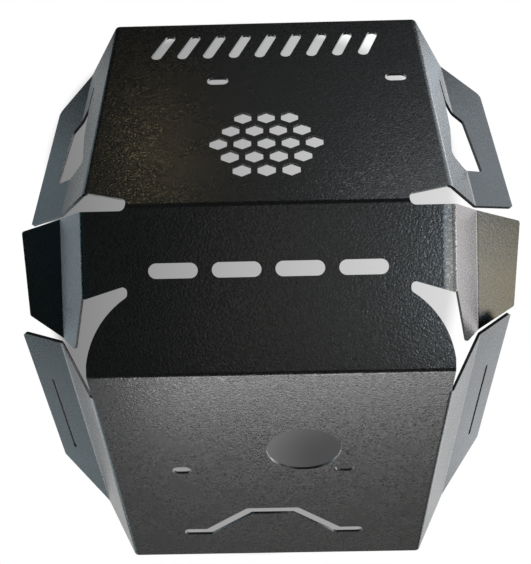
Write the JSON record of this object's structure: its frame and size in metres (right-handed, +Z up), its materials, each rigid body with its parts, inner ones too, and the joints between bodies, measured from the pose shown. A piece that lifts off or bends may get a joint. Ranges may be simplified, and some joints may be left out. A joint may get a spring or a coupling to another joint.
{
  "type": "motorcycle belly pan",
  "caption": "Folded steel belly pan with front, chin and belly panels, joggled side wings, slotted bolt holes, vents and a drain access hole, for guarding a small motorcycle's engine.",
  "frame": {"origin": "outer face of the level belly panel, on the pan's centre plane, in line with the belly's two bolt slots", "axes": "+Z up, out of the belly panel towards the engine; the upright front panel faces -Y, the front of the motorcycle; +X across the motorcycle, to the right as seen from in front"},
  "size_m": [0.3371, 0.3301, 0.2951],
  "materials": {
    "powder_coat": "black powder coat with a fine leather grain, satin"
  },
  "bodies": {
    "root": {"belly_pan": "powder_coat"}
  },
  "joints": []
}
